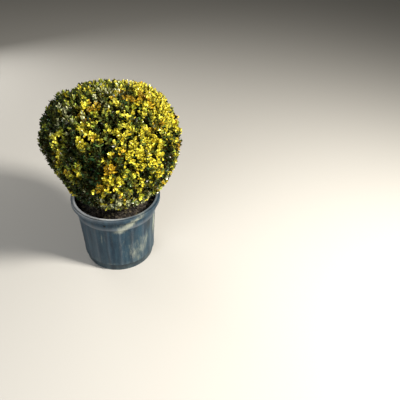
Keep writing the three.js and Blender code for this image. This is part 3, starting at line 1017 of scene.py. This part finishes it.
def makeTrunk():
    foot, knot = stem["foot"], stem["top"] + stem["forkHeight"]
    profile = [(0, foot)]
    for i in range(stem["rows"] + 1):
        height = foot + i / stem["rows"] * (knot - foot)
        along = min((height - foot) / (stem["top"] - foot), 1)
        profile.append((stem["footRadius"] + along * (stem["topRadius"] - stem["footRadius"]), height))
    profile.append((0, knot + stem["dome"]))
    bm = bmesh.new()
    spinProfile(bm, profile, stem["segments"])
    for vert in bm.verts:
        radius = vert.co.xy.length
        angle = math.atan2(vert.co.y, vert.co.x)
        fade = math.exp(-(vert.co.z - foot) / stem["flareHeight"])
        between = stem["betweenRoots"]
        flared = 1 + stem["flare"] * fade * (1 - between + between * math.cos(stem["roots"] * angle))
        if radius > mm:
            turns, up = stem["fissuresRound"], vert.co.z / stem["fissureLength"]
            around = (math.cos(angle) * turns, math.sin(angle) * turns, up)
            flared += stem["fissure"] * roughnessAt(around, 1, 0.7, 4) / radius
        middle = stemMiddle(vert.co.z)
        vert.co.x = vert.co.x * flared + middle[0]
        vert.co.y = vert.co.y * flared + middle[1]
    return meshFrom("trunk", bm)


def makeBarkFinish(name, ridge, furrow, scale, relief):
    material, tree, shader, place = newMaterial(name, wood["shine"])
    grain = grainOf(tree, stretch(tree, place, (1, 1, 0.35)), coarse=scale, fine=scale * 6)
    lichen = patchesOf(tree, place, scale=45, cover=0.4, softness=0.1)
    pale = tuple(min(1.6 * part, 1) for part in ridge)
    colour = blend(tree, grain["Tone"], furrow, ridge)
    colour = blend(tree, multiply(tree, lichen, 0.5), colour, pale)
    rough = remap(tree, grain["Tone"], 0, 1, 0.95, 0.75)
    feedShader(tree, shader, colour, rough, grain["Height"], relief)
    return material


woodColours = wood["colours"]
barkFinish = makeBarkFinish("barkFinish", woodColours["bark"], woodColours["furrow"], 160, 1.0 * mm)
twigFinish = makeBarkFinish("twigFinish", woodColours["youngBark"], woodColours["furrow"], 220, 0.4 * mm)
shootFinish = makeBarkFinish(
    "greenShootFinish", woodColours["greenBark"], woodColours["youngBark"], 300, 0.2 * mm
)
dress("trunk_bark", makeTrunk(), barkFinish, "main_stem")
boughMesh = joinMeshes("boughs", makeLimbs("bough", boughs), makeLimbs("branch", branches))
roughenBark(boughMesh)
dress("bough_bark", boughMesh, barkFinish, "foliage_ball")
twigMesh = joinMeshes(
    "twigs", makeLimbs("sprig", sprigs), makeLimbs("spray", sprays), makeLimbs("spray", innerSprays)
)
dress("twigs", twigMesh, twigFinish, "foliage_ball")
dress("green_shoots", makeLimbs("shoot", shoots), shootFinish, "foliage_ball")
print("stem and twigs made")


# Leaves

leaves = {
    "length": 16 * mm,
    "lengthSpread": 0.14,
    "width": 0.54,  # as a share of the length
    # pairs on a limb: millimetres behind its tip, degrees from its line, and size
    "shoot": {
        "seats": (0.5, 4.5, 10, 16, 23, 30, 38, 46),
        "splays": (12, 25, 36, 44, 51, 58, 64, 69),
        "sizes": (0.5, 0.72, 0.9, 1.0, 1.0, 1.0, 1.0, 1.0),
    },
    "spray": {
        "seats": (4, 9, 15, 21, 28, 36, 45, 55),
        "splays": (55, 60, 64, 68, 70, 72, 74, 74),
        "sizes": (1.0,) * 8,
    },
    # deep inside, where it is dark and the old leaves are larger
    "inner": {
        "seats": (0.5, 5, 10, 16, 22, 29, 36, 44, 54, 64, 76, 90),
        "splays": (30, 44, 54, 60, 64, 68, 70, 72, 74, 74, 74, 74),
        "sizes": (1.2,) * 12,
    },
    "aslant": np.array((0.31, 0.52, 0.79)),  # the direction that a pair's turn is counted from
    "bareRoot": 0.04,  # share of a limb that bears no leaves
    "turnSpread": 0.16,
    "splaySpread": 12,
    "rollSpread": 0.32,
    "furthest": 1.04,
    "mostInPiece": 24000,
    "seed": 19,
    # what makes a shoot sunny: lighter kinds towards the key light and darker ones away from it, painted
    # light and shade on top of the real sun tint
    "sunSide": np.array((0.80, -0.38, 0.46)),
    "sun": {"side": 0.42, "patch": 0.8, "golden": 0.85, "dark": 0.9, "bronze": 0.3, "spread": 0.2},
    "calm": 0.5,  # how much less the patches count in golden and dark places
    "patch": (28 * mm, 28 * mm, 36 * mm),  # taller than wide, as tufts grow upwards
    "finePatch": 0.35,
    "fineSize": 0.4,  # as a share of the patch
    # what makes it bronze or pale; the pale kind is partly painted sheen
    "tinge": {"width": 46 * mm, "spread": 0.08, "bronze": 0.5},
    "paleness": {"places": 0.55, "below": 0.25, "belowFrom": -0.45},
    # from where on it is of each kind
    "deepBelow": -0.12,
    "freshFrom": 0.08,
    "goldenFrom": 0.28,
    "bronzeFrom": 0.43,
    # pairs behind the tip, from where on even its leaves are older
    "midFrom": 3.6,
    "deepFrom": 4.9,
    "ageSpread": 1.2,
    # of each kind: its darkest and its lightest leaves, their undersides, and how they shine
    "kinds": {
        # deep is partly painted shade, being dealt to the side away from the light
        "deep": ((0.036, 0.020, 0.0005), (0.007, 0.031, 0.012), (0.034, 0.044, 0.010), 0.15),
        "mid": ((0.125, 0.080, 0.001), (0.060, 0.115, 0.028), (0.105, 0.12, 0.022), 0.3),
        "fresh": ((0.37, 0.285, 0.001), (0.29, 0.39, 0.055), (0.31, 0.34, 0.05), 0.4),
        "golden": ((0.65, 0.465, 0.001), (0.60, 0.60, 0.075), (0.62, 0.57, 0.08), 0.4),
        "bronze": ((0.50, 0.255, 0.001), (0.50, 0.37, 0.03), (0.43, 0.31, 0.04), 0.4),
        # pale leaves are partly painted sheen
        "pale": ((0.34, 0.35, 0.13), (0.47, 0.49, 0.29), (0.45, 0.46, 0.26), 0.5),
    },
}
deep, mid, fresh, golden, bronze, pale = range(6)


def makeLeafGroup():
    tree, given = newGroup("boxLeafSurface", {"Leaf Map": None, "Vector": None, "Shade": 0.5})
    across = addNode(tree, "SeparateXYZ", {0: given["Leaf Map"]})[0]
    fromMiddle = calculate(tree, "ABSOLUTE", calculate(tree, "SUBTRACT", across, 0.5))
    midrib = remap(tree, fromMiddle, 0.015, 0.07, 1, 0)
    fine = addNode(tree, "TexNoise", {"Vector": given["Vector"], "Scale": 260, "Detail": 2})[0]
    mottled = remap(tree, fine, 0.3, 0.7, 0.86, 1.14)
    results = {
        "Brightness": multiply(tree, remap(tree, given["Shade"], 0, 1, 0.42, 1.46), mottled),
        "Midrib": midrib,
        "Roughness": remap(tree, fine, 0.3, 0.7, 0.13, 0.3),
        "Height": multiply(tree, midrib, -1.0),
    }
    return giveBack(tree, results)


leafGroup = makeLeafGroup()


def makeLeafFinish(name, darkest, lightest, under, shine):
    material, tree, shader, place = newMaterial(name, shine)
    shade = attributeOf(tree, "shade")
    leafMap = addNode(tree, "UVMap", uv_map="ownMap")[0]
    inputs = {"Leaf Map": leafMap, "Vector": place, "Shade": shade}
    surface = addNode(tree, "Group", inputs, node_tree=leafGroup)
    ribbed = multiply(tree, surface["Midrib"], 0.45)
    colour = blend(tree, ribbed, blend(tree, shade, darkest, lightest), under)
    colour = blend(tree, addNode(tree, "NewGeometry")["Backfacing"], colour, under)
    colour = dim(tree, colour, surface["Brightness"])
    rough, height = surface["Roughness"], surface["Height"]
    feedShader(tree, shader, colour, rough, height, relief=0.15 * mm, strength=0.6)
    return material


def leavesOn(handles, kind, rng):
    # pairs of leaves along limbs, each pair turned a quarter from the one before
    points = curvePoints(handles, np.linspace(0, 1, 7)[:, None])
    length = np.linalg.norm(np.diff(points, axis=1), axis=2).sum(1)
    twist = rng.uniform(0, 2 * math.pi, len(handles))
    rows = leaves[kind]
    made = []
    for pair, (seat, splay, size) in enumerate(zip(rows["seats"], rows["splays"], rows["sizes"])):
        share = 1 - seat * mm / length
        grown = np.where(share > leaves["bareRoot"])[0]
        spread = lambda amount: rng.normal(0, amount, len(grown))
        t = share[grown][:, None, None]
        root = curvePoints(handles[grown], t)[:, 0]
        along = curveDirections(handles[grown], t)[:, 0]
        aside = unit(np.cross(along, leaves["aslant"]))
        other = np.cross(along, aside)
        for half in (0, math.pi):
            turn = twist[grown] + half + pair * math.pi / 2 + spread(leaves["turnSpread"])
            side = aside * np.cos(turn)[:, None] + other * np.sin(turn)[:, None]
            angle = np.radians(splay + spread(leaves["splaySpread"]))[:, None]
            lengthwise = along * np.cos(angle) + side * np.sin(angle)
            flat = unit(np.cross(side, along))
            raised = np.cross(flat, lengthwise)
            rolled = spread(leaves["rollSpread"])[:, None]
            across = flat * np.cos(rolled) + raised * np.sin(rolled)
            upper = raised * np.cos(rolled) - flat * np.sin(rolled)
            long = leaves["length"] * size * (1 + spread(leaves["lengthSpread"]))[:, None]
            axes = np.stack([across * long * leaves["width"], lengthwise * long, upper * long], 1)
            made.append((root, axes, grown, np.full(len(grown), pair)))
    return [np.concatenate(part) for part in zip(*made)]


def dealKinds(rng):
    # each shoot's kind, by the side that it is on (painted light and shade, partly the real sun tint),
    # patches as wide as a spray, and the places above
    sun, tinge, paleness = leaves["sun"], leaves["tinge"], leaves["paleness"]
    patches = []
    for tip in sprayTips:
        drawn = Vector(part / size for part, size in zip(tip, leaves["patch"]))
        patches.append(noiseAt(drawn, 1, 2) + leaves["finePatch"] * noiseAt(drawn, leaves["fineSize"], 5))
    directions = sidesOf(shootTips)
    inGolden, inDark, inBronze, inPale = (near(kind, directions) for kind in places)
    settled = 1 - leaves["calm"] * np.maximum(inGolden, inDark)
    # lighter kinds on the side towards the key light: painted light, partly the real sun tint
    sunny = sun["side"] * directions @ leaves["sunSide"]
    sunny += sun["patch"] * settled * np.array(patches)[sprayOfShoot]
    sunny += sun["golden"] * inGolden - sun["dark"] * inDark
    sunny += sun["bronze"] * inBronze
    sunny += rng.normal(0, sun["spread"], len(shoots))
    reddish = np.array([noiseAt(tip, tinge["width"], 9) for tip in shootTips])
    reddish += rng.normal(0, tinge["spread"], len(shoots))
    reddish += tinge["bronze"] * inBronze
    kinds = np.full(len(shoots), mid)
    # the darkest kind away from the light is partly painted shade
    kinds[sunny < leaves["deepBelow"]] = deep
    kinds[sunny > leaves["freshFrom"]] = fresh
    kinds[sunny > leaves["goldenFrom"]] = golden
    kinds[(reddish > leaves["bronzeFrom"]) & (sunny > 0)] = bronze
    below = directions[:, 2] < paleness["belowFrom"]
    isPale = paleness["places"] * inPale + paleness["below"] * below
    kinds[rng.uniform(0, 1, len(shoots)) < isPale] = pale
    return kinds


def makeLeaves():
    rng = np.random.default_rng(leaves["seed"])
    kindOfShoot = dealKinds(rng)
    root, axes, shoot, pair = leavesOn(shoots, "shoot", rng)
    kind = kindOfShoot[shoot]
    older = pair + rng.normal(0, leaves["ageSpread"], len(pair))
    kind[(older > leaves["midFrom"]) & (kind != deep)] = mid
    kind[older > leaves["deepFrom"]] = deep
    limbs = ((sprays, "spray"), (innerSprays, "inner"), (sprigs, "inner"), (branches, "inner"))
    for handles, rows in limbs:
        moreRoots, moreAxes, _, _ = leavesOn(handles, rows, rng)
        root, axes = np.concatenate([root, moreRoots]), np.concatenate([axes, moreAxes])
        kind = np.concatenate([kind, np.full(len(moreRoots), deep)])
    kept = staysInSpace(root + axes[:, 1], leaves["furthest"], crown["leafClearance"])
    root, axes, kind = root[kept], axes[kept], kind[kept]
    shades = rng.uniform(0, 1, len(root))
    print(f"leaves: {len(root)}, by kind {np.bincount(kind, minlength=6).tolist()}")
    old, young = makeLeaf(*leafForm["old"]), makeLeaf(*leafForm["young"])
    for index, (name, looks) in enumerate(leaves["kinds"].items()):
        finish = makeLeafFinish(name + "LeafFinish", *looks)
        chosen = np.where(kind == index)[0]
        parts = max(1, math.ceil(len(chosen) / leaves["mostInPiece"]))
        for part in range(parts):
            some = chosen[part::parts]
            form = old if index in (deep, mid, pale) else young
            mesh = joinedCopies(name, form, root[some], axes[some], shades[some])
            ending = f"_{part + 1}" if parts > 1 else ""
            dress(f"{name}_leaves{ending}", mesh, finish, "foliage_ball")


makeLeaves()
print("leaves made")


# Floor, light and camera

studio = {
    "floorRadius": 30,
    "floorSides": 96,
    "floorColour": (0.42, 0.41, 0.39, 1),
    "floorRoughness": 0.9,
    "aim": Vector((0, 0, 0.45)),
    # place, size, power and colour
    "key": ((2.2, -1.4, 2.5), 0.6, 280, (1.0, 0.95, 0.86)),
    "fill": ((-1.7, -2.5, 2.0), 2.0, 62, (0.96, 0.98, 1.0)),
    "back": ((-1.6, 2.4, 1.5), 2.0, 45, (1.0, 0.97, 0.92)),
    "backdropColour": (0.95, 0.92, 0.82, 1),
    "backdropStrength": 0.12,
}


def makeFloor():
    sides, radius = studio["floorSides"], studio["floorRadius"]
    bm = bmesh.new()
    bmesh.ops.create_circle(bm, cap_ends=True, segments=sides, radius=radius)
    floor = addObject("floor", meshFrom("floor", bm))
    material, _, shader, _ = newMaterial("paleFloor", shine=0.5)
    shader["Base Color"].default_value = studio["floorColour"]
    shader["Roughness"].default_value = studio["floorRoughness"]
    floor.data.materials.append(material)


def addLight(name):
    place, size, power, colour = studio[name]
    lamp = bpy.data.lights.new(name, "AREA")
    lamp.size = size
    lamp.energy = power
    lamp.color = colour
    light = addObject(name, lamp)
    light.location = place
    light.rotation_euler = (studio["aim"] - light.location).to_track_quat("-Z", "Y").to_euler()


def makeStudio():
    for name in ("key", "fill", "back"):
        addLight(name)
    world = bpy.data.worlds.new("studio")
    world.use_nodes = True
    backdrop = world.node_tree.nodes["Background"]
    backdrop.inputs["Color"].default_value = studio["backdropColour"]
    backdrop.inputs["Strength"].default_value = studio["backdropStrength"]
    bpy.context.scene.world = world
    bpy.context.scene.view_settings.view_transform = "Standard"


photoView = {
    "height": 1.445,
    "distance": 1.542,
    "down": 36.9,  # degrees
    "turn": 14.4,
    "roll": 3.58,
    "focalPixels": 410,
    "imagePixels": 400,
    "sensor": 36,
}


def makeCamera():
    lens = bpy.data.cameras.new("photoView")
    lens.sensor_width = photoView["sensor"]
    lens.lens = photoView["sensor"] * photoView["focalPixels"] / photoView["imagePixels"]
    camera = addObject("photoView", lens)
    place = Matrix.Translation((0, -photoView["distance"], photoView["height"]))
    turns = ((-photoView["turn"], "Z"), (90 - photoView["down"], "X"), (photoView["roll"], "Z"))
    for degrees, axis in turns:
        place = place @ Matrix.Rotation(math.radians(degrees), 4, axis)
    camera.matrix_world = place
    bpy.context.scene.camera = camera


makeFloor()
makeStudio()
makeCamera()
print("studio made")
